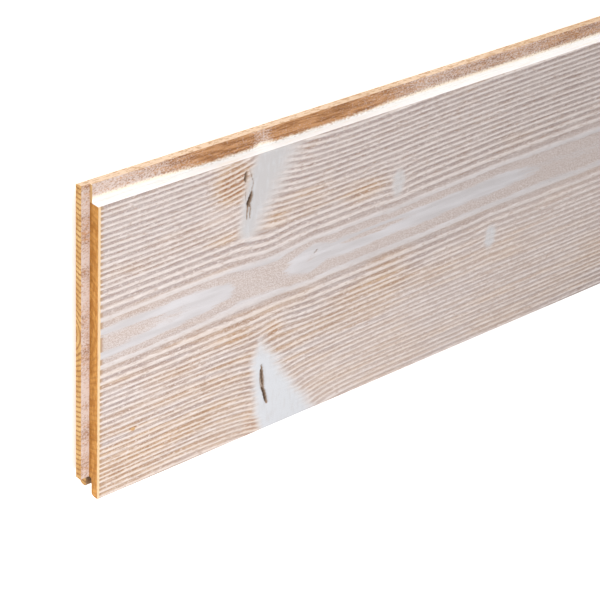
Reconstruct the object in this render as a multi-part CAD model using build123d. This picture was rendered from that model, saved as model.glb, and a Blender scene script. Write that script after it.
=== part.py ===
from build123d import *
import os

# A cladding board of planed softwood, tongued and grooved on all four edges.
# It lies on its back with the face up: X runs along the grain, Y across it towards the long tongue,
# and Z through the thickness. The origin is under the middle of the board, on the back.

# Driving dimensions, in millimetres
face_length = 2000.0
face_width = 137.0
thickness = 14.0

# Long tongue, and the front lip that it stands behind
lip_thickness = 4.8
tongue_thickness = 5.0
tongue_height = 8.0

# End tongue: its back lies level with the long tongue's back
end_tongue_thickness = 3.4
end_tongue_length = 4.5

# Clearances of the two grooves, so that the faces close before anything else touches
side_clearance = 0.15
tip_clearance = 0.5
back_gap = 1.0

# Eased edges
face_ease = 0.8
back_ease = 1.2
tongue_ease = 0.6
end_ease = 0.4
lead_in = 1.5

# Levels through the thickness, up from the back
above_face = 2 * thickness
below_back = -thickness
tongue_front = thickness - lip_thickness
tongue_back = tongue_front - tongue_thickness
groove_front = tongue_front + side_clearance
groove_back = tongue_back - side_clearance
end_tongue_front = tongue_back + end_tongue_thickness
end_groove_front = end_tongue_front + side_clearance

# Places across the width
overall_width = face_width + tongue_height
lip_edge = -overall_width / 2
back_leg_edge = lip_edge + back_gap
groove_floor = lip_edge + tongue_height + tip_clearance
shoulder = lip_edge + face_width
tongue_tip = overall_width / 2

# Places along the length
overall_length = face_length + end_tongue_length
end_tongue_tip = -overall_length / 2
near_end = end_tongue_tip + end_tongue_length
near_back_end = near_end + back_gap
far_end = overall_length / 2
end_groove_floor = far_end - end_tongue_length - tip_clearance


def corner(outline, place):
    """The outline's corner at this place."""
    return outline.vertices().sort_by_distance(Vector(*place))[0]


def rounded(outline, radius, *places):
    """The outline with the corners at these places rounded."""
    return fillet([corner(outline, place) for place in places], radius)


def bevelled(outline, size, *places):
    """The outline with the corners at these places cut off."""
    return chamfer([corner(outline, place) for place in places], size)


def cross_section():
    """The board cut across the grain: the groove on the left, the long tongue on the right."""
    outline = make_face(
        Polyline(
            (lip_edge, thickness),
            (shoulder, thickness),
            (shoulder, tongue_front),
            (tongue_tip, tongue_front),
            (tongue_tip, tongue_back),
            (shoulder, tongue_back),
            (shoulder, 0),
            (back_leg_edge, 0),
            (back_leg_edge, groove_back),
            (groove_floor, groove_back),
            (groove_floor, groove_front),
            (lip_edge, groove_front),
            close=True,
        )
    )
    outline = bevelled(outline, tongue_ease, (tongue_tip, tongue_front), (tongue_tip, tongue_back))
    outline = bevelled(outline, back_ease, (shoulder, 0), (back_leg_edge, 0))
    outline = bevelled(outline, tongue_ease, (back_leg_edge, groove_back))
    return rounded(outline, lead_in, (lip_edge, groove_front))


def long_section():
    """The board cut along the grain, drawn past its face and back: the end tongue on the left."""
    outline = make_face(
        Polyline(
            (near_end, above_face),
            (far_end, above_face),
            (far_end, end_groove_front),
            (end_groove_floor, end_groove_front),
            (end_groove_floor, groove_back),
            (far_end, groove_back),
            (far_end, below_back),
            (near_back_end, below_back),
            (near_back_end, tongue_back),
            (end_tongue_tip, tongue_back),
            (end_tongue_tip, end_tongue_front),
            (near_end, end_tongue_front),
            close=True,
        )
    )
    outline = bevelled(outline, end_ease, (end_tongue_tip, end_tongue_front), (end_tongue_tip, tongue_back))
    return bevelled(outline, end_ease, (far_end, end_groove_front), (far_end, groove_back))


def cladding_board():
    """The solid that both sections share when each is drawn out past the board, with its face eased."""
    along_grain = extrude(Plane.YZ * cross_section(), overall_length, both=True)
    across_grain = extrude(Plane.XZ * long_section(), overall_width, both=True)
    board = along_grain & across_grain
    face = board.faces().sort_by(Axis.Z)[-1]
    return fillet(face.edges(), face_ease)


os.makedirs("parts", exist_ok=True)
export_step(cladding_board(), "parts/cladding_board.step")
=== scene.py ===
from collections import namedtuple

import bmesh
import bpy
import numpy as np
from mathutils import Matrix, Vector


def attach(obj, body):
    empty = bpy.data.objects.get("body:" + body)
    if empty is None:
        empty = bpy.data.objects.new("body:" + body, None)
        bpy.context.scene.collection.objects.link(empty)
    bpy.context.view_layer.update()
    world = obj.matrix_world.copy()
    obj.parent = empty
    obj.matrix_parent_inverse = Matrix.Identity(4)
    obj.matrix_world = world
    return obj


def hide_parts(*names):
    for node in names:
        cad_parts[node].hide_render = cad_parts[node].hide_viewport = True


# The cladding board dressed as in the photograph: a brushed and white-washed face over bare softwood.
# Lengths are in millimetres until a mesh is made. The frame is the part's own: X along the grain,
# Y across it towards the long tongue, Z up from the back.
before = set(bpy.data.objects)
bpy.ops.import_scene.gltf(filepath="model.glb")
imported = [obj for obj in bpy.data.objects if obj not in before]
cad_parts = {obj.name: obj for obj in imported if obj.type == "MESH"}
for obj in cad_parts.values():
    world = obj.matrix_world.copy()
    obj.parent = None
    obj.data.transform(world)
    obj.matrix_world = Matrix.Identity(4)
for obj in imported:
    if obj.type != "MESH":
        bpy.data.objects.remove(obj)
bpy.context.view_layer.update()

MM = 0.001

# Section of the board, as in the part
face_length = 2000.0
face_width = 137.0
thickness = 14.0
lip_thickness = 4.8
tongue_thickness = 5.0
tongue_height = 8.0
end_tongue_thickness = 3.4
end_tongue_length = 4.5
side_clearance = 0.15
tip_clearance = 0.5
back_gap = 1.0
face_ease = 0.8
back_ease = 1.2
tongue_ease = 0.6
end_ease = 0.4
lead_in = 1.5

# Levels through the thickness, up from the back
tongue_front = thickness - lip_thickness
tongue_back = tongue_front - tongue_thickness
groove_front = tongue_front + side_clearance
groove_back = tongue_back - side_clearance
end_tongue_front = tongue_back + end_tongue_thickness
end_groove_front = end_tongue_front + side_clearance
face_edge = thickness - face_ease

# Places across the width
lip_edge = -(face_width + tongue_height) / 2
back_leg_edge = lip_edge + back_gap
groove_floor = lip_edge + tongue_height + tip_clearance
shoulder = lip_edge + face_width
tongue_tip = shoulder + tongue_height

# Places along the length
end_tongue_tip = -(face_length + end_tongue_length) / 2
end_tongue_root = end_tongue_tip + end_ease
near_end = end_tongue_tip + end_tongue_length
near_back_end = near_end + back_gap
far_end = -end_tongue_tip
end_groove_mouth = far_end - end_ease
end_groove_floor = far_end - end_tongue_length - tip_clearance

# Brushed relief: its depth, and where in a ring, from its hard line at 0 to the middle of its soft
# wood at 0.5, the standing wood ends and the hollow's floor begins. The flat rings over the pith keep
# a share of that depth, with a steeper step down to it.
relief_depth = 0.34
standing_ends = 0.1
hollow_begins = 0.34
flat_relief = 0.35
flat_standing_ends = 0.14
flat_hollow_begins = 0.3

# How far the knots lie below the standing wood, and how deep a crack is
knot_sink = 0.06
crack_depth = 1.6

# Places on the face are measured along it from the near end and across it from the lip's edge.

# Growth rings: five wide ones round the pith, three that close over it, and the narrow outer ones,
# which are wider by a share past a stretch of the face
inner_rings = [3.18] * 5 + [3.0, 3.1, 2.7]
outer_ring = 2.32
outer_ring_count = 45
outer_widening = 0.05
widening_stretch = (120, 260)

# The rings' waver: how far, and over which lengths along and across the face
ring_wavers = [(0.16, 37, 23), (0.1, 15, -9)]

# The pith's line: its middle across the face, and its slow sway along it
pith_middle = 78.0
pith_sway = 3.2
pith_sway_start = 144.0
pith_sway_length = 790.0

# How far from its line the pith tells on the face, and how closely its depth does
pith_half_width = 14.4
pith_focus = 1.7

# Distances from the pith's line between which flat rings turn into brushed ones
flat_to_brushed = (5.0, 17.0)

# How far behind the face the pith runs, against the distance along the face. Where it comes nearer,
# a ring comes out as a long tongue.
pith_depths = [
    (0, 14.75), (38, 15.28), (52, 15.58), (65, 16.15), (74, 16.95), (86, 16.95), (94, 16.85),
    (104, 16.1), (113, 15.5), (123, 16.2), (134, 15.75), (170, 15.75), (190, 15.95), (207, 16.2),
    (222, 16.0), (240, 16.1), (254, 16.75), (320, 16.9), (430, 15.3), (560, 16.5), (720, 14.8),
    (900, 16.2), (1060, 15.0), (1250, 16.6), (1430, 15.4), (1600, 16.2), (1790, 14.6), (2000, 15.6),
]
mean_pith_depth = 15.8

# The rings over the pith lie aside of its line, by the first knots and in the flame past them
knot_shift = 1.9
knot_shift_middle = 65.0
knot_shift_reach = 32.0
flame_shift = 1.4
flame_begins = (95, 125)
flame_ends = (255, 300)
flame_half_width = 9.0

# A soft patch: its middle along and across the face, its half sizes and its strength
Patch = namedtuple("Patch", "along across half_along half_across strength")

# Where the rings over the pith bulge outwards. Here across is measured from the pith's line.
bulges = [
    Patch(152.0, 2.9, 23.0, 1.6, 1.8),
    Patch(115.0, 7.0, 8.0, 3.5, 0.8),
]

# Where resin has stained the wood brown
stains = [
    Patch(68.0, 127.5, 9.5, 9.0, 1.75),
    Patch(64.0, 103.0, 9.0, 4.0, 0.6),
    Patch(92.0, 105.0, 8.0, 4.0, 0.65),
    Patch(112.0, 134.0, 10.0, 3.0, 0.5),
    Patch(112.0, 104.0, 12.0, 5.0, 0.5),
    Patch(143.0, 103.5, 17.0, 7.0, 1.05),
    Patch(203.0, 103.0, 6.0, 4.0, 0.5),
    Patch(162.0, 55.0, 14.0, 13.0, 0.5),
    Patch(238.0, 102.0, 12.0, 8.0, 0.4),
    Patch(73.0, 53.0, 12.0, 4.0, 0.55),
    Patch(94.0, 50.0, 4.0, 3.5, 0.8),
    Patch(84.0, 5.0, 5.0, 7.0, 0.8),
    Patch(20.0, 12.0, 25.0, 10.0, 0.35),
    Patch(140.0, 52.0, 12.0, 6.0, 0.35),
    Patch(17.9, 28.3, 1.5, 0.9, 2.6),
    Patch(605.0, 118.0, 12.0, 12.0, 0.8),
    Patch(1036.0, 22.0, 10.0, 10.0, 0.8),
    Patch(1476.0, 122.0, 10.0, 9.0, 0.8),
    Patch(1808.0, 18.0, 10.0, 9.0, 0.8),
]

# How brown the wood is: everywhere, by the near end, in clouds, less far along, and at most
even_warmth = 0.3
near_warmth = 0.35
near_warmth_length = 160
warm_clouds = [(0.12, 95, 31), (0.12, 240, -80)]
far_paleness = 0.35
most_warmth = 2.6

# Where the wash fills the grooves: in bands, and in one pool before the upper knot
band_filling = 0.45
wash_pool = Patch(62.0, 113.5, 10.0, 4.5, 0.5)

# How much of the white wash has blown over the long tongue's front, along the face
spray_amounts = [
    (0, 0.6), (30, 0.5), (44, 0.32), (58, 0.06), (78, 0.04),
    (86, 0.45), (95, 0.06), (133, 0.06), (180, 0.4),
]

# A branch knot: its tip's place along the face, its side of the pith line, 1 towards the tongue, how
# far from that line it starts, how much it leans along the grain, its half width at the face's edge,
# its taper, 1 for a wedge and near 0 for a strip, and how much softer its far border is
Branch = namedtuple("Branch", "along side start lean half_width taper blur")
near_branches = [
    Branch(76.8, 1, 23.5, 0.38, 11.2, 0.38, 6.0),
    Branch(86.2, -1, 30.2, 0.38, 15.3, 0.68, 2.4),
]
far_branches = [
    Branch(618.0, 1, 27.0, 0.30, 8.0, 0.35, 4.0),
    Branch(655.0, -1, 38.0, 0.33, 9.0, 0.45, 1.0),
    Branch(1043.0, -1, 26.0, 0.42, 11.0, 0.4, 2.0),
    Branch(1071.0, 1, 33.0, 0.28, 7.0, 0.3, 4.0),
    Branch(1486.0, 1, 22.0, 0.35, 9.5, 0.4, 3.0),
    Branch(1818.0, -1, 35.0, 0.38, 10.0, 0.35, 1.0),
]
branches = near_branches + far_branches

# Every branch: its run to either edge and past it, how its lean grows, its frayed and soft border
pith_to_edge = {1: 60.0, -1: 77.0}
followed_past_edge = 1.4
lean_power = 1.3
frayed_depth = 0.9
near_softness = 3.4

# How a branch moves the rings: outwards beside it, and inwards under its tip and a little past that
push_beside = 1.6
push_lost_far_side = 0.5
push_gained_out = 0.065
push_fade = 13.0
pull_under_tip = 2.8
pull_fade = 9.0
pull_past_tip = 11.5
pull_half_length = 11.0

# A pin knot is a small lens: its place along and across the face, and its half sizes
Pin = namedtuple("Pin", "along across half_along half_across")
pins = [
    Pin(163.0, 101.0, 2.7, 4.9),
    Pin(226.5, 54.0, 2.6, 4.6),
    Pin(395.0, 41.0, 2.8, 4.2),
    Pin(872.0, 104.0, 3.2, 4.5),
    Pin(1268.0, 50.0, 2.6, 4.0),
    Pin(1660.0, 108.0, 3.3, 4.6),
]

# Every pin knot: how white it is, its soft rim in half sizes, and how it pulls the rings
pin_whiteness = 0.6
pin_rim = 0.95
pin_pull = 0.9
pin_pull_length = 9.0
pin_pull_width = 14.0

# A drying crack: its two ends on the face, its half width in the middle and how far it is open
Crack = namedtuple("Crack", "start stop half_width open")
near_cracks = [
    Crack((74.3, 131.6), (74.4, 126.2), 0.75, 0.9),
    Crack((73.9, 127.5), (75.2, 116.0), 0.2, 0.5),
    Crack((76.0, 132.2), (78.7, 125.0), 0.22, 0.6),
    Crack((78.7, 127.0), (77.5, 119.0), 0.25, 0.65),
    Crack((77.9, 121.4), (76.1, 114.0), 1.1, 1.1),
    Crack((75.9, 115.5), (75.8, 108.6), 0.4, 0.75),
    Crack((77.2, 115.5), (77.6, 108.4), 0.4, 0.75),
    Crack((87.5, 34.6), (89.9, 21.6), 0.6, 1.0),
    Crack((87.2, 32.0), (89.3, 19.5), 1.1, 0.45),
    Crack((88.9, 22.4), (92.2, 12.6), 0.85, 1.0),
    Crack((117.0, 82.4), (115.2, 80.4), 0.3, 0.75),
    Crack((163.9, 104.0), (163.2, 98.5), 0.12, 0.4),
]
far_cracks = [
    Crack((621.2, 121.0), (620.2, 112.0), 0.55, 1.0),
    Crack((1050.2, 26.0), (1051.4, 15.0), 0.65, 1.0),
    Crack((1488.6, 125.0), (1487.6, 116.0), 0.55, 1.0),
    Crack((1821.5, 20.0), (1822.6, 10.0), 0.55, 1.0),
]
cracks = near_cracks + far_cracks

# Every crack: how far it bows, and half the width of its eased rim
crack_bow = 0.12
crack_rim = 0.3

# Cuts along the grain: start, stop and step, and those at the far knots and cracks
cut_steps = [
    (2, 6, 1.3), (6, 14, 4), (14, 22, 0.9), (22, 66, 6), (66, 73, 1.4), (73, 93, 0.55), (93, 114, 2),
    (114, 118, 0.8), (118, 158, 5), (158, 169, 1.6), (169, 221, 7), (221, 232, 1.6), (232, 1990, 29),
]
branch_cuts = np.linspace(-12, 28, 7)
crack_cut_count = 6
crack_margin = 0.9

# Cuts over an eased edge, round the groove's lead-in, and across the face
ease_cut_count = 6
lead_cut_count = 6
column_count = 346
column_margin = 1.1

# Points this near to each other count as one
same_place = 0.002

# Lanes for the patches in the texture: the gap between them, and their heights
lane_gap = 0.003
face_lane = 0.325
end_lane = 0.012
narrow_lane = 0.008
rim_lane = 0.005

# Finishes, in the order of the mesh's material slots
finishes = ["brushed_face", "washed_shoulder", "sprayed_tongue", "end_grain", "planed_wood"]


# Small helpers for numbers


def eased_step(value, low, high):
    """0 below low, 1 above high, and a smooth rise between them."""
    share = np.clip((value - low) / (high - low), 0, 1)
    return share * share * (3 - 2 * share)


def between(share, low, high):
    """From low where the share is 0 to high where it is 1."""
    return low + share * (high - low)


def smooth_between(place, pairs):
    """A smooth line through pairs of place and value, level beyond the last."""
    places, values = np.array(pairs, dtype=float).T
    step = np.clip(np.searchsorted(places, place) - 1, 0, len(places) - 2)
    return between(eased_step(place, places[step], places[step + 1]), values[step], values[step + 1])


def hill(offset, half_size):
    """1 in the middle, falling away smoothly to both sides."""
    return np.exp(-((offset / half_size) ** 2))


def patch_strength(patch, along, across):
    """How strong a soft patch is at each place."""
    sideways = hill(across - patch.across, patch.half_across)
    return patch.strength * hill(along - patch.along, patch.half_along) * sideways


def slanting_waves(along, across, rows):
    """Waves over the face, added up, from rows of height and lengths along and across."""
    return sum(height * np.sin(along / length + across / width) for height, length, width in rows)


# The tree that the board was sawn from


def pith_line(along):
    """Where the pith runs, across the face."""
    return pith_middle + pith_sway * np.sin(2 * np.pi * (along - pith_sway_start) / pith_sway_length)


def pith_offset(along, across):
    """Distance from the middle of the rings over the pith, and how near its line is, up to 1."""
    from_line = across - pith_line(along)
    nearness = hill(from_line, pith_half_width)
    shift = knot_shift * hill(along - knot_shift_middle, knot_shift_reach)
    return from_line - nearness * shift, nearness


def ring_radii():
    """Radii of the growth rings round the pith. Good and poor years come in turns."""
    year = np.arange(outer_ring_count)
    quick_turns = 0.18 * np.sin(2.4 * year)
    slow_turns = 0.1 * np.sin(0.9 * year + 2.0)
    outer = outer_ring * (1 + quick_turns + slow_turns)
    return np.concatenate([[0.0], np.cumsum(np.concatenate([inner_rings, outer]))])


def ring_number(along, across, push):
    """The growth ring at each place, whole on a hard line, with the push of the knots."""
    from_pith, nearness = pith_offset(along, across)
    flame = flame_shift * eased_step(along, *flame_begins) * (1 - eased_step(along, *flame_ends))
    radius = np.hypot(from_pith - flame * hill(from_pith, flame_half_width), mean_pith_depth)
    radius += nearness**pith_focus * (smooth_between(along, pith_depths) - mean_pith_depth)
    for bulge in bulges:
        radius -= patch_strength(bulge, along, from_pith)
    radius += slanting_waves(along, across, ring_wavers) - push
    inner = sum(inner_rings)
    widening = 1 + outer_widening * eased_step(along, *widening_stretch)
    radius = np.minimum(radius, inner) + np.maximum(radius - inner, 0) / widening
    radii = ring_radii()
    return np.interp(radius, radii, np.arange(len(radii)))


def branch_gap(branch, along, across):
    """Distance from a branch's border, negative inside, with the two offsets that make it."""
    out = branch.side * (across - pith_line(along)) - branch.start
    reach = pith_to_edge[branch.side] - branch.start
    share = np.clip(out / reach, 0, followed_past_edge)
    aside = along - branch.along - branch.lean * reach * share**lean_power
    frayed = frayed_depth * np.sin(out / 2.9 + branch.along) * np.sin(out / 7.3)
    half_width = branch.half_width * share**branch.taper + frayed
    gap = np.where(out > 0, np.abs(aside) - half_width, np.hypot(aside, out))
    return gap, aside, out


def branch_effects(along, across):
    """How white the branches make the face, and how far they push the rings outwards."""
    white = np.zeros_like(along)
    push = np.zeros_like(along)
    for branch in branches:
        gap, aside, out = branch_gap(branch, along, across)
        far_side = eased_step(aside, -3.0, 3.0)
        softness = near_softness + branch.blur * far_side
        white = np.maximum(white, np.clip(0.5 - 0.5 * gap / softness, 0, 1))
        outwards = push_beside - push_lost_far_side * far_side
        outwards = outwards + push_gained_out * np.maximum(out, 0)
        past_tip = eased_step(out, -10.0, 6.0)
        push += outwards * past_tip * np.exp(-np.maximum(gap, 0) / push_fade)
        under_tip = (1 - eased_step(out, -8.0, 4.0)) * np.exp(np.minimum(out, 0) / pull_fade)
        push -= pull_under_tip * under_tip * hill(aside - pull_past_tip, pull_half_length)
    return white, push


def pin_effects(along, across):
    """How white the pin knots make the face, and how far they push the rings: inwards."""
    white = np.zeros_like(along)
    push = np.zeros_like(along)
    for pin in pins:
        aside = along - pin.along
        away = across - pin.across
        gap = np.hypot(aside / pin.half_along, away / pin.half_across) - 1
        white = np.maximum(white, pin_whiteness * np.clip(pin_rim - gap, 0, 1))
        push -= pin_pull * hill(aside, pin_pull_length) * hill(away, pin_pull_width)
    return white, push


def crack_opening(along, across):
    """How far the drying cracks are open: 0 outside them."""
    opening = np.zeros_like(along)
    for crack in cracks:
        start, stop = np.array(crack.start), np.array(crack.stop)
        run = stop - start
        share = ((along - start[0]) * run[0] + (across - start[1]) * run[1]) / run.dot(run)
        share = np.clip(share, 0, 1)
        bow = crack_bow * np.sin(2 * np.pi * share)
        away = np.hypot(along - start[0] - share * run[0] - bow, across - start[1] - share * run[1])
        half_width = crack.half_width * np.sqrt(np.sin(np.pi * share))
        inside = 1 - eased_step(away - half_width, -crack_rim, crack_rim)
        opening = np.maximum(opening, crack.open * inside)
    return opening


def wood_warmth(along, across):
    """How brown the wood is under the wash."""
    by_near_end = np.exp(-along / near_warmth_length) * (1 - across / face_width)
    far_by_tongue = eased_step(along, 80, 200) * eased_step(across, 60, 130)
    warmth = even_warmth + near_warmth * by_near_end - far_paleness * far_by_tongue
    warmth += slanting_waves(along, across, warm_clouds)
    for stain in stains:
        warmth += patch_strength(stain, along, across)
    return np.clip(warmth, 0, most_warmth)


def wash_filling(along, across):
    """How far the wash fills the grooves."""
    band = eased_step(np.sin(along / 150 - across / 60 + 0.47), 0.5, 1.0)
    return band_filling * band + patch_strength(wash_pool, along, across)


def wood(along, across):
    """The tree's numbers at each place on the face, by name."""
    branch_white, branch_push = branch_effects(along, across)
    pin_white, pin_push = pin_effects(along, across)
    from_pith, _ = pith_offset(along, across)
    return {
        "ring": ring_number(along, across, branch_push + pin_push),
        "knot": np.maximum(branch_white, pin_white),
        "crack": crack_opening(along, across),
        "brushed": eased_step(np.abs(from_pith), *flat_to_brushed),
        "filled": wash_filling(along, across),
        "warmth": wood_warmth(along, across),
        "spray": smooth_between(along, spray_amounts),
    }


# The board's surface


def eased_cuts():
    """Where an eased edge is cut, as distances inside it."""
    return face_ease * (1 - np.cos(np.linspace(0, np.pi / 2, ease_cut_count)))


def stations():
    """Where the surface is cut along the grain: finest at cracks, knots and eased ends."""
    corners = [end_tongue_root, near_end, near_back_end, end_groove_floor, end_groove_mouth, far_end]
    cuts = [np.array(corners), near_end + eased_cuts(), far_end - eased_cuts()]
    for start, stop, step in cut_steps:
        cuts.append(near_end + np.arange(start, stop, step))
    for branch in far_branches:
        cuts.append(near_end + branch.along + branch_cuts)
    for crack in far_cracks:
        places = (crack.start[0], crack.stop[0])
        first, last = min(places) - crack_margin, max(places) + crack_margin
        cuts.append(near_end + np.linspace(first, last, crack_cut_count))
    return np.unique(np.round(np.concatenate(cuts), 3))


def columns():
    """Where the face is cut across the grain: several times a ring, and round the eased edges."""
    middle = np.linspace(lip_edge + column_margin, shoulder - column_margin, column_count)
    return np.concatenate([lip_edge + eased_cuts(), middle, (shoulder - eased_cuts())[::-1]])


def eased_drop(inside):
    """How far the rounded arris falls below the face, this far inside its edge."""
    left = np.clip(face_ease - inside, 0, face_ease)
    return face_ease - np.sqrt(face_ease**2 - left**2)


def face_level(x, y):
    """Height of the brushed face."""
    from_end = np.minimum(x - near_end, far_end - x)
    from_side = np.minimum(y - lip_edge, shoulder - y)
    tree = wood(x - near_end, y - lip_edge)
    from_hard = np.abs(tree["ring"] - np.round(tree["ring"]))
    ends = between(tree["brushed"], flat_standing_ends, standing_ends)
    begins = between(tree["brushed"], flat_hollow_begins, hollow_begins)
    depth = relief_depth * between(tree["brushed"], flat_relief, 1.0) * (1 - tree["knot"])
    hollow = eased_step(from_hard, ends, begins) * depth
    hollow = np.maximum(hollow + knot_sink * tree["knot"], crack_depth * tree["crack"])
    fade = eased_step(np.minimum(from_end, from_side), 0, face_ease)
    return thickness - np.maximum(eased_drop(from_end), eased_drop(from_side)) - hollow * fade


def section_points():
    """Corners of the cross section, from the shoulder round the back to the lip, by name."""
    points = {
        "shoulder_top": (shoulder, face_edge),
        "shoulder_foot": (shoulder, tongue_front),
        "tongue_front_bevel": (tongue_tip - tongue_ease, tongue_front),
        "tip_front": (tongue_tip, tongue_front - tongue_ease),
        "tip_end_groove": (tongue_tip, end_groove_front),
        "tip_end_tongue": (tongue_tip, end_tongue_front),
        "tip_back": (tongue_tip, tongue_back + tongue_ease),
        "tongue_back_bevel": (tongue_tip - tongue_ease, tongue_back),
        "back_shoulder_top": (shoulder, tongue_back),
        "back_shoulder_groove": (shoulder, groove_back),
        "back_shoulder_foot": (shoulder, back_ease),
        "back_right": (shoulder - back_ease, 0.0),
        "back_left": (back_leg_edge + back_ease, 0.0),
        "leg_foot": (back_leg_edge, back_ease),
        "leg_top": (back_leg_edge, groove_back - tongue_ease),
        "leg_bevel": (back_leg_edge + tongue_ease, groove_back),
        "floor_back": (groove_floor, groove_back),
        "floor_tongue_back": (groove_floor, tongue_back),
        "floor_tongue_front": (groove_floor, end_tongue_front),
        "floor_end_groove": (groove_floor, end_groove_front),
        "floor_front": (groove_floor, groove_front),
    }
    for step, angle in enumerate(np.linspace(-np.pi / 2, -np.pi, lead_cut_count)):
        across = lip_edge + lead_in + lead_in * np.cos(angle)
        points[f"lead_{step}"] = (across, groove_front + lead_in + lead_in * np.sin(angle))
    points["lip_top"] = (lip_edge, face_edge)
    return points


def section_at_far_end(points):
    """The section's corners on the far end itself, where the end groove's mouth is bevelled."""
    moved = dict(points)
    upwards = {"tip_end_groove": 1, "floor_end_groove": 1, "back_shoulder_groove": -1, "floor_back": -1}
    for name, direction in upwards.items():
        across, level = points[name]
        moved[name] = (across, level + direction * end_ease)
    across, level = points["leg_bevel"]
    moved["leg_bevel"] = (across - end_ease, level - end_ease)
    return moved


def names_between(points, first, last):
    """The section's corner names from first to last."""
    names = list(points)
    return names[names.index(first) : names.index(last) + 1]


def spots_between(points, *spans):
    """The section's corners along spans from a first name to a last."""
    return [points[name] for first, last in spans for name in names_between(points, first, last)]


class Surface:
    """The surface, gathered patch by patch. Patches meet point on point and are welded later."""

    def __init__(self):
        self.points = []
        self.faces = []
        self.finishes = []
        self.texture_spots = []
        self.lane = lane_gap

    def add_points(self, points):
        """Numbers of these points, added to the surface."""
        first = len(self.points)
        self.points.extend(points)
        return np.arange(first, first + len(points))

    def in_lane(self, shares, height):
        """Places in the texture's next free lane, from shares of its length and height."""
        low = self.lane
        self.lane += height + lane_gap
        return shares * (1 - 2 * lane_gap, height) + (lane_gap, low)

    def grid(self, cells, finish, height):
        """Four-sided faces over a grid of points, in one lane of the texture."""
        rows, cols = cells.shape[:2]
        numbers = self.add_points(cells.reshape(-1, 3).tolist()).reshape(rows, cols)
        down_rows, length = spaced(cells[:, cols // 2])
        over_cols, width = spaced(cells[rows // 2])
        texture = np.stack(np.meshgrid(down_rows, over_cols, indexing="ij"), axis=-1)
        if width > length:
            texture = texture[..., ::-1]
        texture = self.in_lane(texture, height)
        for row in range(rows - 1):
            for col in range(cols - 1):
                spots = [(row, col), (row + 1, col), (row + 1, col + 1), (row, col + 1)]
                self.faces.append([int(numbers[spot]) for spot in spots])
                self.finishes.append(finish)
                self.texture_spots.extend(texture[spot] for spot in spots)

    def polygon(self, corners, finish, height):
        """One flat face through these corners, in one lane of the texture."""
        corners = np.array(corners)
        self.faces.append([int(number) for number in self.add_points(corners.tolist())])
        self.finishes.append(finish)
        sizes = np.ptp(corners, axis=0)
        longest = np.argsort(sizes)[:0:-1]
        texture = (corners - corners.min(axis=0))[:, longest] / sizes[longest]
        self.texture_spots.extend(self.in_lane(texture, height))


def spaced(points):
    """Distances along a row of points, as shares of its length, and that length."""
    steps = np.linalg.norm(np.diff(points, axis=0), axis=1)
    run = np.concatenate([[0.0], np.cumsum(steps)])
    return run / run[-1], run[-1]


def add_face(surface, cuts):
    """The brushed face, in two halves so that its texture is fine enough."""
    across = columns()
    on_face = cuts[(cuts >= near_end) & (cuts <= far_end)]
    middle = int(np.searchsorted(on_face, on_face[0] + face_length / 2))
    for half in (on_face[: middle + 1], on_face[middle:]):
        x, y = np.meshgrid(half, across, indexing="ij")
        surface.grid(np.stack([x, y, face_level(x, y)], axis=-1), "brushed_face", face_lane)


def add_strip(surface, cuts, names, start, stop, finish, height):
    """A strip of the section's sides, drawn out along the grain."""
    points = section_points()
    far_points = section_at_far_end(points)
    rows = []
    for x in cuts[(cuts >= start - same_place) & (cuts <= stop + same_place)]:
        section = far_points if x > far_end - same_place else points
        rows.append([(x, *section[name]) for name in names])
    surface.grid(np.array(rows), finish, height)


def add_sides(surface, cuts):
    """The long sides, strip by strip round the section from the shoulder to the lip."""
    points = section_points()
    whole = (near_end, far_end)
    over_end_groove = (near_end, end_groove_floor)
    tongue = (end_tongue_root, end_groove_floor)
    back = (near_back_end, far_end)
    back_over_groove = (near_back_end, end_groove_floor)
    strips = [
        ("shoulder_top", whole, "washed_shoulder", 0.014),
        ("shoulder_foot", whole, "sprayed_tongue", 0.024),
        ("tip_front", whole, "planed_wood", 0.008),
        ("tip_end_groove", over_end_groove, "planed_wood", 0.004),
        ("tip_end_tongue", tongue, "planed_wood", 0.02),
        ("back_shoulder_top", back_over_groove, "planed_wood", 0.004),
        ("back_shoulder_groove", back, "planed_wood", 0.09),
        ("floor_back", back_over_groove, "planed_wood", 0.004),
        ("floor_tongue_back", tongue, "planed_wood", 0.008),
        ("floor_tongue_front", over_end_groove, "planed_wood", 0.004),
        ("floor_end_groove", whole, "planed_wood", 0.018),
    ]
    lasts = [strip[0] for strip in strips[1:]] + ["lip_top"]
    for (first, (start, stop), finish, height), last in zip(strips, lasts):
        names = names_between(points, first, last)
        add_strip(surface, cuts, names, start, stop, finish, height)


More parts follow.
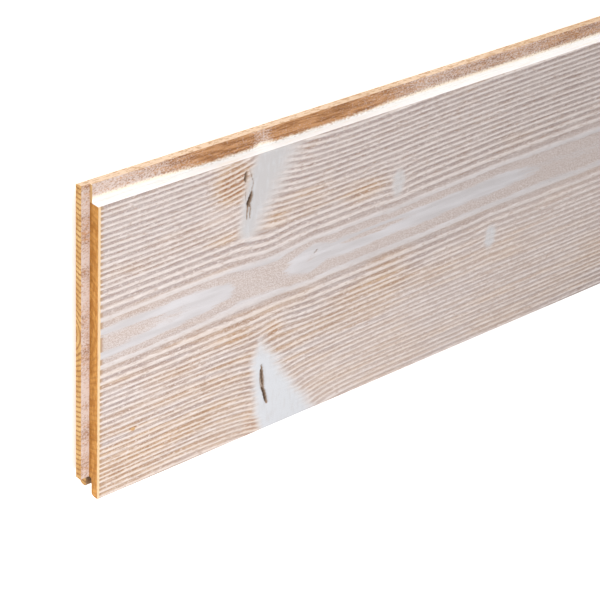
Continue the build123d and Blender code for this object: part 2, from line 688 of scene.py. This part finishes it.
def add_end_tongue(surface, cuts):
    """The end tongue's front, back, bevels and tip."""
    front = ["tip_end_tongue", "floor_tongue_front"]
    back = ["back_shoulder_top", "floor_tongue_back"]
    add_strip(surface, cuts, front, end_tongue_root, near_end, "sprayed_tongue", narrow_lane)
    add_strip(surface, cuts, back, end_tongue_root, near_back_end, "planed_wood", narrow_lane)
    root = {name: (end_tongue_root, *spot) for name, spot in section_points().items()}
    bevel = tongue_ease - end_ease
    tip_top = (end_tongue_tip, tongue_tip, end_tongue_front - end_ease)
    tip_side = (end_tongue_tip, tongue_tip, tongue_back + tongue_ease)
    tip_corner = (end_tongue_tip, tongue_tip - bevel, tongue_back + end_ease)
    floor_back = (end_tongue_tip, groove_floor, tongue_back + end_ease)
    floor_top = (end_tongue_tip, groove_floor, end_tongue_front - end_ease)
    root_back = [root["tongue_back_bevel"], root["back_shoulder_top"], root["floor_tongue_back"]]
    rims = [
        [root["tip_end_tongue"], root["floor_tongue_front"], floor_top, tip_top],
        [root["tip_end_tongue"], root["tip_back"], tip_side, tip_top],
        [root["tip_back"], root["tongue_back_bevel"], tip_corner, tip_side],
        [*root_back, floor_back, tip_corner],
        [root["floor_tongue_back"], root["floor_tongue_front"], floor_top, floor_back],
        [tip_top, tip_side, tip_corner, floor_back, floor_top],
    ]
    for rim in rims:
        surface.polygon(rim, "end_grain", rim_lane)


def add_end_groove(surface, cuts):
    """The two walls and the floor of the groove in the far end."""
    for names in (["tip_end_groove", "floor_end_groove"], ["back_shoulder_groove", "floor_back"]):
        add_strip(surface, cuts, names, end_groove_floor, far_end, "planed_wood", narrow_lane)
    points = section_points()
    spans = [("tip_end_groove", "back_shoulder_groove"), ("floor_back", "floor_end_groove")]
    outline = [(end_groove_floor, *spot) for spot in spots_between(points, *spans)]
    surface.polygon(outline, "end_grain", narrow_lane)


def add_ends(surface):
    """The sawn ends of the lip and of the back, at both ends of the board."""
    points = section_points()
    far_points = section_at_far_end(points)
    last_lead = f"lead_{lead_cut_count - 1}"
    face_ends = [(y, face_edge) for y in columns()]
    near_lip = [("shoulder_foot", "tip_end_tongue"), ("floor_tongue_front", last_lead)]
    near_back = ("back_shoulder_top", "floor_tongue_back")
    far_lip = [("shoulder_foot", "tip_end_groove"), ("floor_end_groove", last_lead)]
    far_back = ("back_shoulder_groove", "floor_back")
    outlines = [
        (near_end, face_ends + spots_between(points, *near_lip)),
        (near_back_end, spots_between(points, near_back)),
        (far_end, face_ends + spots_between(far_points, *far_lip)),
        (far_end, spots_between(far_points, far_back)),
    ]
    for x, outline in outlines:
        surface.polygon([(x, *spot) for spot in outline], "end_grain", end_lane)


def weld(mesh):
    """Joins the patches along their shared edges and turns every face outwards."""
    work = bmesh.new()
    work.from_mesh(mesh)
    bmesh.ops.remove_doubles(work, verts=work.verts, dist=same_place * MM)
    bmesh.ops.recalc_face_normals(work, faces=work.faces)
    work.to_mesh(mesh)
    work.free()


def write_wood(mesh):
    """Keeps the tree's numbers on the mesh, for the materials to read."""
    spots = np.empty(len(mesh.vertices) * 3, dtype=np.float32)
    mesh.vertices.foreach_get("co", spots)
    spots = spots.reshape(-1, 3).astype(float) / MM
    for name, values in wood(spots[:, 0] - near_end, spots[:, 1] - lip_edge).items():
        layer = mesh.attributes.new(name, "FLOAT", "POINT")
        layer.data.foreach_set("value", values.astype(np.float32))


def make_board():
    """The whole dressed board, one closed mesh."""
    surface = Surface()
    cuts = stations()
    add_face(surface, cuts)
    add_sides(surface, cuts)
    add_end_tongue(surface, cuts)
    add_end_groove(surface, cuts)
    add_ends(surface)
    mesh = bpy.data.meshes.new("board")
    mesh.from_pydata((np.array(surface.points) * MM).tolist(), [], surface.faces)
    mesh.polygons.foreach_set("material_index", [finishes.index(name) for name in surface.finishes])
    mesh.polygons.foreach_set("use_smooth", [name == "brushed_face" for name in surface.finishes])
    texture = mesh.uv_layers.new(name="OFBake")
    texture_spots = np.array(surface.texture_spots) / (1.0, surface.lane)
    texture.data.foreach_set("uv", texture_spots.astype(np.float32).ravel())
    weld(mesh)
    write_wood(mesh)
    board = bpy.data.objects.new("board", mesh)
    bpy.context.collection.objects.link(board)
    return board


# Materials

# The rings on the sides: where their pith lies, across and behind the board, and how they wander
side_pith_across = 5.0
side_pith_behind = 1.6
side_ring_wander = 5.0


class Finish:
    """One material, sized in millimetres. Most methods add nodes and return the resulting socket."""

    def __init__(self, name):
        self.material = bpy.data.materials.new(name)
        self.material.use_nodes = True
        self.tree = self.material.node_tree
        self.shader = self.tree.nodes["Principled BSDF"]
        self.place = self.node("ShaderNodeTexCoord").outputs["Object"]

    def node(self, kind, **settings):
        """A new node with these settings."""
        made = self.tree.nodes.new(kind)
        for name, value in settings.items():
            setattr(made, name, value)
        return made

    def put(self, value, socket):
        """Feeds a socket from another socket, or sets it to a plain value."""
        if isinstance(value, bpy.types.NodeSocket):
            self.tree.links.new(value, socket)
        else:
            socket.default_value = value

    def math(self, operation, *values):
        """One sum, product or other operation on these values."""
        made = self.node("ShaderNodeMath", operation=operation)
        for value, socket in zip(values, made.inputs):
            self.put(value, socket)
        return made.outputs[0]

    def added(self, first, second):
        """Two values added up."""
        return self.math("ADD", first, second)

    def scaled(self, value, amount):
        """A value times an amount."""
        return self.math("MULTIPLY", value, amount)

    def between(self, share, low, high):
        """The same as between above, in nodes."""
        return self.math("MULTIPLY_ADD", share, high - low, low)

    def swing(self, value, amount):
        """A noise turned into a swing to both sides of 0."""
        return self.scaled(self.math("SUBTRACT", value, 0.5), amount)

    def rise(self, value, low, high):
        """The same as eased_step above, in nodes."""
        made = self.node("ShaderNodeMapRange", interpolation_type="SMOOTHSTEP")
        for part, socket in zip((value, low, high), made.inputs):
            self.put(part, socket)
        return made.outputs["Result"]

    def contrast(self, noise):
        """A noise drawn out until it reaches 0 and 1."""
        return self.rise(noise, 0.3, 0.7)

    def blend(self, share, low, high):
        """A colour between two colours."""
        made = self.node("ShaderNodeMix", data_type="RGBA")
        self.put(share, made.inputs["Factor"])
        for colour, socket in ((low, made.inputs[6]), (high, made.inputs[7])):
            self.put(colour if isinstance(colour, bpy.types.NodeSocket) else (*colour, 1.0), socket)
        return made.outputs[2]

    def noise(self, along, across, detail=2.0, through=None):
        """Noise from 0 to 1, with patches this long along and across the grain."""
        through = across if through is None else through
        scaling = self.node("ShaderNodeVectorMath", operation="MULTIPLY")
        self.put(self.place, scaling.inputs[0])
        scaling.inputs[1].default_value = [1 / (size * MM) for size in (along, across, through)]
        made = self.node("ShaderNodeTexNoise")
        made.inputs["Scale"].default_value = 1.0
        made.inputs["Detail"].default_value = detail
        self.put(scaling.outputs[0], made.inputs["Vector"])
        return made.outputs["Fac"]

    def axis(self, name):
        """The place along one axis, in metres."""
        split = self.node("ShaderNodeSeparateXYZ")
        self.put(self.place, split.inputs[0])
        return split.outputs[name]

    def from_to(self, axis, start, stop):
        """A smooth rise from 0 to 1 between two places on an axis."""
        return self.rise(self.axis(axis), start * MM, stop * MM)

    def kept(self, name):
        """One of the tree's numbers that the mesh keeps."""
        return self.node("ShaderNodeAttribute", attribute_name=name).outputs["Fac"]

    def from_hard(self, ring):
        """0 on a ring's hard line, up to 0.5 in the middle of its soft wood."""
        return self.math("PINGPONG", ring, 0.5)

    def rings_round_pith(self):
        """Ring numbers from the distance to the pith, for the sides and ends."""
        aside = self.math("SUBTRACT", self.axis("Y"), side_pith_across * MM)
        behind = self.added(self.axis("Z"), side_pith_behind * MM)
        squares = self.added(self.scaled(aside, aside), self.scaled(behind, behind))
        wander = self.scaled(self.noise(160.0, 45.0), side_ring_wander * MM)
        radius = self.added(self.math("SQRT", squares), wander)
        return self.math("DIVIDE", radius, outer_ring * MM)

    def sawn_edge(self, full, none):
        """1 this near to the face's sawn ends, falling to 0 further in."""
        middle = (near_end + far_end) / 2 * MM
        from_middle = self.math("ABSOLUTE", self.math("SUBTRACT", self.axis("X"), middle))
        half_length = face_length / 2 * MM
        return self.rise(from_middle, half_length - none * MM, half_length - full * MM)

    def finish(self, colour, roughness, height, depth):
        """The material, with colour, roughness and fine relief wired to its shader."""
        bump = self.node("ShaderNodeBump")
        bump.inputs["Distance"].default_value = depth * MM
        self.put(height, bump.inputs["Height"])
        self.put(bump.outputs[0], self.shader.inputs["Normal"])
        self.put(colour, self.shader.inputs["Base Color"])
        self.put(roughness, self.shader.inputs["Roughness"])
        self.shader.inputs["Specular IOR Level"].default_value = 0.3
        return self.material


# Colours of the brushed face and of thin wash. Tones are pairs that a noise mixes.
pale_tones = (0.33, 0.262, 0.248), (0.43, 0.362, 0.342)
brown_tones = (0.335, 0.195, 0.11), (0.5, 0.34, 0.225)
calm_tones = (0.445, 0.36, 0.325), (0.61, 0.55, 0.535)
stained_groove = (0.29, 0.135, 0.055)
dark_dash = (0.27, 0.16, 0.1)
thin_wash = (0.6, 0.5, 0.46)
standing_tones = (0.58, 0.498, 0.465), (0.7, 0.635, 0.61)
cool_tones = (0.5, 0.47, 0.475), (0.585, 0.56, 0.575)
warm_standing = (0.66, 0.54, 0.45)
dark_grit = (0.42, 0.31, 0.26)
pale_grit = (0.68, 0.6, 0.57)
resin_spot = (0.5, 0.3, 0.14)
knot_tones = (0.505, 0.483, 0.483), (0.585, 0.59, 0.615)
rim_brown = (0.28, 0.19, 0.13)
# Near black: painted shade for the depth of a crack
crack_painted_shade = (0.075, 0.045, 0.028)
sawn_groove = (0.38, 0.24, 0.145)
sawn_rim = (0.74, 0.53, 0.32)


def groove_share(made, fibre, streak, smooth):
    """How much of a place is groove: 0 on the standing wood and the knots, 1 in a groove."""
    wander = made.added(made.swing(fibre, 0.26), made.swing(streak, 0.28))
    gap = made.from_hard(made.added(made.kept("ring"), wander))
    brushed = made.kept("brushed")
    ends = made.between(brushed, flat_standing_ends, standing_ends)
    begins = made.between(brushed, flat_hollow_begins, hollow_begins)
    return made.scaled(made.rise(gap, ends, begins), made.between(smooth, 1.0, 0.0))


def groove_colour(made, streak, speck, warm, calm):
    """The grooves: brown where the wood is warm, with dashes and specks, calm over the pith."""
    pale = made.blend(made.contrast(streak), *pale_tones)
    brown = made.blend(made.contrast(streak), *brown_tones)
    stained = made.rise(made.kept("warmth"), 0.8, 1.5)
    dashed = made.scaled(made.rise(made.noise(6.0, 0.7), 0.52, 0.72), 0.5)
    specked = made.scaled(made.rise(speck, 0.45, 0.75), 0.55)
    colour = made.blend(warm, pale, brown)
    colour = made.blend(stained, colour, stained_groove)
    colour = made.blend(dashed, colour, dark_dash)
    colour = made.blend(specked, colour, thin_wash)
    colour = made.blend(made.kept("filled"), colour, thin_wash)
    calm_colour = made.blend(made.rise(speck, 0.35, 0.65), *calm_tones)
    return made.blend(calm, colour, calm_colour)


def standing_colour(made, fibre, cloud, warm, calm):
    """The standing wood between the grooves, cooler over the pith."""
    colour = made.blend(made.contrast(fibre), *standing_tones)
    colour = made.blend(made.scaled(warm, 0.75), colour, warm_standing)
    cool = made.blend(made.contrast(cloud), *cool_tones)
    return made.blend(made.scaled(calm, 1.15), colour, cool)


def knot_colour(made):
    """The smooth knots: paler towards the lip, with a faint mottle along their fibres."""
    mottle = made.swing(made.noise(1.8, 7.0, 3.0), 2.0)
    return made.blend(made.added(made.from_to("Y", 50.0, -50.0), mottle), *knot_tones)


def cracked_and_sawn(made, colour, speck, groove):
    """A colour with the cracks added, their depths painted near black as shade, and the bare wood that
    shows at the sawn ends.
    """
    slit = made.added(made.kept("crack"), made.swing(speck, 0.7))
    colour = made.blend(made.rise(slit, 0.1, 0.55), colour, rim_brown)
    # Painted shade: the open middle of a crack is coloured near black, as the shade deep in the slit,
    # over the bare wood at its lips
    colour = made.blend(made.rise(slit, 0.5, 1.0), colour, crack_painted_shade)
    bare_grooves = made.blend(groove, colour, sawn_groove)
    colour = made.blend(made.sawn_edge(0.9, 3.0), colour, bare_grooves)
    return made.blend(made.sawn_edge(0.5, 1.1), colour, sawn_rim)


def brushed_face():
    """White-washed softwood: pale standing wood, browner brushed-out grooves, smooth white knots."""
    made = Finish("brushed_face")
    fibre = made.noise(5.0, 0.35, 3.0)
    streak = made.noise(11.0, 1.1)
    cloud = made.noise(32.0, 3.0, 3.0)
    patch = made.noise(90.0, 16.0)
    speck = made.noise(0.7, 0.45)
    grit = made.noise(2.2, 0.8)
    brushed = made.kept("brushed")
    warmth = made.kept("warmth")
    smooth = made.rise(made.added(made.kept("knot"), made.swing(streak, 0.6)), 0.05, 0.95)
    groove = groove_share(made, fibre, streak, smooth)
    clouded = made.added(made.swing(cloud, 1.5), made.swing(patch, 1.4))
    warm = made.rise(made.added(warmth, clouded), 0.1, 1.1)
    calm = made.between(brushed, 0.85, 0.0)
    gritty = made.scaled(brushed, 0.7)
    standing = standing_colour(made, fibre, cloud, warm, calm)
    colour = made.blend(groove, standing, groove_colour(made, streak, speck, warm, calm))
    colour = made.blend(made.scaled(made.rise(grit, 0.56, 0.74), gritty), colour, dark_grit)
    colour = made.blend(made.scaled(made.rise(grit, 0.44, 0.26), gritty), colour, pale_grit)
    colour = made.blend(made.rise(warmth, 1.7, 2.3), colour, resin_spot)
    colour = made.blend(smooth, colour, knot_colour(made))
    colour = cracked_and_sawn(made, colour, speck, groove)
    height = made.math("MULTIPLY_ADD", speck, 0.7, fibre)
    return made.finish(colour, made.between(groove, 0.64, 0.82), height, 0.16)


# Colours of the washed shoulder and the sprayed tongue
shoulder_tones = (0.9, 0.85, 0.78), (0.94, 0.94, 0.94)
bare_tones = (0.24, 0.1, 0.034), (0.47, 0.238, 0.105)
warm_wash = (0.88, 0.77, 0.63)
thick_wash = (0.94, 0.92, 0.89)


def washed_shoulder():
    """The shoulder above the long tongue, covered in white wash."""
    made = Finish("washed_shoulder")
    cover = made.noise(12.0, 1.2, 3.0)
    colour = made.blend(made.rise(cover, 0.25, 0.5), *shoulder_tones)
    return made.finish(colour, made.between(cover, 0.55, 0.75), cover, 0.04)


def sprayed_cover(made, speck, spray, by_shoulder, on_end_tongue):
    """How thickly the wash lies on the tongues: most by the shoulder, least by the tip."""
    by_tip = made.scaled(on_end_tongue, made.from_to("Y", shoulder, tongue_tip))
    blown = made.added(made.swing(speck, 1.9), made.swing(made.noise(45.0, 30.0, 1.0), 0.5))
    bare_patches = made.scaled(made.swing(made.noise(40.0, 11.0), 1.4), on_end_tongue)
    cover = made.added(made.added(spray, blown), bare_patches)
    cover = made.math("MULTIPLY_ADD", by_shoulder, 0.8, cover)
    return made.math("MULTIPLY_ADD", by_tip, -0.5, cover)


def sprayed_tongue():
    """Bare brown wood with wash blown over it in specks, thickest by the shoulder."""
    made = Finish("sprayed_tongue")
    speck = made.noise(0.9, 0.6, 3.0)
    grain = made.added(made.noise(22.0, 1.5, 3.0), made.swing(made.noise(5.0, 0.5), 0.8))
    spray = made.kept("spray")
    on_end_tongue = made.from_to("X", near_end, near_end - 0.1)
    reach = made.math("MULTIPLY_ADD", spray, 3.4 * MM, (shoulder + 2.3) * MM)
    by_shoulder = made.rise(made.axis("Y"), reach, shoulder * MM)
    by_shoulder = made.scaled(by_shoulder, made.between(on_end_tongue, 1.0, 0.0))
    cover = sprayed_cover(made, speck, spray, by_shoulder, on_end_tongue)
    bare_wood = made.blend(made.contrast(grain), *bare_tones)
    wash = made.blend(made.rise(by_shoulder, 0.0, 0.5), thin_wash, warm_wash)
    wash = made.blend(made.rise(by_shoulder, 0.4, 0.9), wash, thick_wash)
    colour = made.blend(made.rise(cover, 0.0, 0.95), bare_wood, wash)
    return made.finish(colour, made.between(speck, 0.65, 0.85), speck, 0.1)


# Colours of the end grain and of the bare planed wood, with the shade painted into its groove
sawn_tones = (0.54, 0.29, 0.09), (0.66, 0.42, 0.17)
end_late = (0.36, 0.16, 0.045)
lip_end_tones = (0.49, 0.2, 0.035), (0.66, 0.32, 0.08)
lip_late = (0.38, 0.145, 0.03)
long_tongue_end = (0.78, 0.5, 0.22)
planed_tones = (0.58, 0.4, 0.25), (0.68, 0.5, 0.35)
planed_late = (0.45, 0.25, 0.11)
planed_speck = (0.4, 0.21, 0.09)
# Painted shade for the inside of the groove
painted_groove_shade = (0.14, 0.065, 0.025)


def end_grain():
    """Sawn end grain: rings cut across, with a coarse sawn fuzz. The front lip's end is darker."""
    made = Finish("end_grain")
    fuzz = made.noise(0.5, 0.5, 3.0)
    patch = made.noise(20.0, 9.0, 2.0, 4.0)
    blotch = made.noise(3.0, 3.5, 3.0, 1.5)
    ring = made.added(made.rings_round_pith(), made.swing(fuzz, 0.45))
    late = made.rise(made.from_hard(ring), 0.3, 0.02)
    colour = made.blend(late, made.blend(made.contrast(patch), *sawn_tones), end_late)
    lip_colour = made.blend(made.rise(blotch, 0.35, 0.65), *lip_end_tones)
    lip_colour = made.blend(made.scaled(late, 0.25), lip_colour, lip_late)
    on_long_tongue = made.from_to("Y", shoulder - 0.1, shoulder + 0.1)
    lip_colour = made.blend(on_long_tongue, lip_colour, long_tongue_end)
    on_lip = made.from_to("Z", end_tongue_front - 0.1, end_tongue_front + 0.1)
    colour = made.blend(on_lip, colour, lip_colour)
    return made.finish(colour, made.between(fuzz, 0.7, 0.9), made.added(fuzz, late), 0.12)


def planed_wood():
    """Bare planed softwood on the tongue, the back and in the groove, whose shade is painted in as dark
    brown.
    """
    made = Finish("planed_wood")
    fibre = made.noise(9.0, 0.35, 3.0)
    speck = made.noise(2.4, 0.9)
    patch = made.noise(110.0, 12.0)
    ring = made.added(made.rings_round_pith(), made.swing(fibre, 0.2))
    late = made.rise(made.from_hard(ring), 0.3, 0.05)
    early_colour = made.blend(made.contrast(patch), *planed_tones)
    colour = made.blend(made.scaled(late, 0.8), early_colour, planed_late)
    colour = made.blend(made.scaled(made.rise(speck, 0.48, 0.64), 0.7), colour, planed_speck)
    # Painted shade: the groove's floor and the walls by it are darkened towards dark brown, as the
    # shade inside the groove
    by_floor = made.from_to("Y", groove_floor + 0.3, groove_floor)
    past_lip = made.from_to("Y", lip_edge + lead_in, groove_floor - 2.0)
    off_back = made.from_to("Z", back_ease, groove_back)
    painted_shade_in_groove = made.scaled(made.scaled(by_floor, past_lip), off_back)
    colour = made.blend(made.scaled(painted_shade_in_groove, 0.85), colour, painted_groove_shade)
    return made.finish(colour, made.between(fibre, 0.55, 0.75), fibre, 0.05)


# Floor, light and camera

# The white room's brightness, and its soft boxes in metres and watts: on the tongue's side, close
# above the near end, and over the far part
room_brightness = 0.48
SoftBox = namedtuple("SoftBox", "name place target size power")
soft_boxes = [
    SoftBox("side_box", (-0.95, 1.5, 0.9), (-0.9, 0.0, 0.0), 0.9, 12.6),
    SoftBox("near_box", (-1.06, -0.06, 0.32), (-1.0, -0.03, 0.0), 0.2, 0.86),
    SoftBox("far_box", (0.9, 0.5, 1.2), (0.9, 0.0, 0.0), 1.0, 12.0),
]

# The camera, fitted to the photo's straight edges: place in metres, two axes, lens in millimetres
camera_place = (-1.44193, 0.44929, 0.61027)
camera_backwards = (-0.59070, 0.49421, 0.63783)
camera_upwards = (0.29235, 0.86786, -0.40169)
camera_lens = 129.5


def floor():
    """A plain pale floor under the board."""
    bpy.ops.mesh.primitive_plane_add(size=30.0)
    ground = bpy.context.object
    ground.name = "floor"
    paint = bpy.data.materials.new("pale_floor")
    paint.use_nodes = True
    shader = paint.node_tree.nodes["Principled BSDF"]
    shader.inputs["Base Color"].default_value = (0.93, 0.93, 0.93, 1.0)
    shader.inputs["Roughness"].default_value = 0.9
    shader.inputs["Specular IOR Level"].default_value = 0.1
    shader.inputs["Emission Strength"].default_value = 0.55
    ground.data.materials.append(paint)
    return ground


def soft_light(box):
    """A square soft box that shines from its place towards its target."""
    lamp = bpy.data.lights.new(box.name, "AREA")
    lamp.size = box.size
    lamp.energy = box.power
    holder = bpy.data.objects.new(box.name, lamp)
    holder.location = box.place
    holder.visible_camera = False
    holder.rotation_mode = "QUATERNION"
    holder.rotation_quaternion = (Vector(box.target) - Vector(box.place)).to_track_quat("-Z", "Y")
    bpy.context.collection.objects.link(holder)


def studio_light():
    """A white room with its soft boxes, shown in plain colours."""
    world = bpy.data.worlds.new("studio")
    world.use_nodes = True
    background = world.node_tree.nodes["Background"]
    background.inputs["Color"].default_value = (1.0, 1.0, 1.0, 1.0)
    background.inputs["Strength"].default_value = room_brightness
    bpy.context.scene.world = world
    for box in soft_boxes:
        soft_light(box)
    bpy.context.scene.view_settings.view_transform = "Standard"


def photo_camera():
    """A camera that stands where the photograph was taken."""
    backwards = Vector(camera_backwards).normalized()
    sideways = Vector(camera_upwards).cross(backwards).normalized()
    upwards = backwards.cross(sideways)
    lens = bpy.data.cameras.new("photo_camera")
    lens.lens = camera_lens
    camera = bpy.data.objects.new("photo_camera", lens)
    turn = Matrix((sideways, upwards, backwards)).transposed()
    camera.matrix_world = Matrix.Translation(camera_place) @ turn.to_4x4()
    bpy.context.collection.objects.link(camera)
    bpy.context.scene.camera = camera


board = make_board()
for material in (brushed_face(), washed_shoulder(), sprayed_tongue(), end_grain(), planed_wood()):
    board.data.materials.append(material)
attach(board, "root")
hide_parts("cladding_board")
floor()
studio_light()
photo_camera()
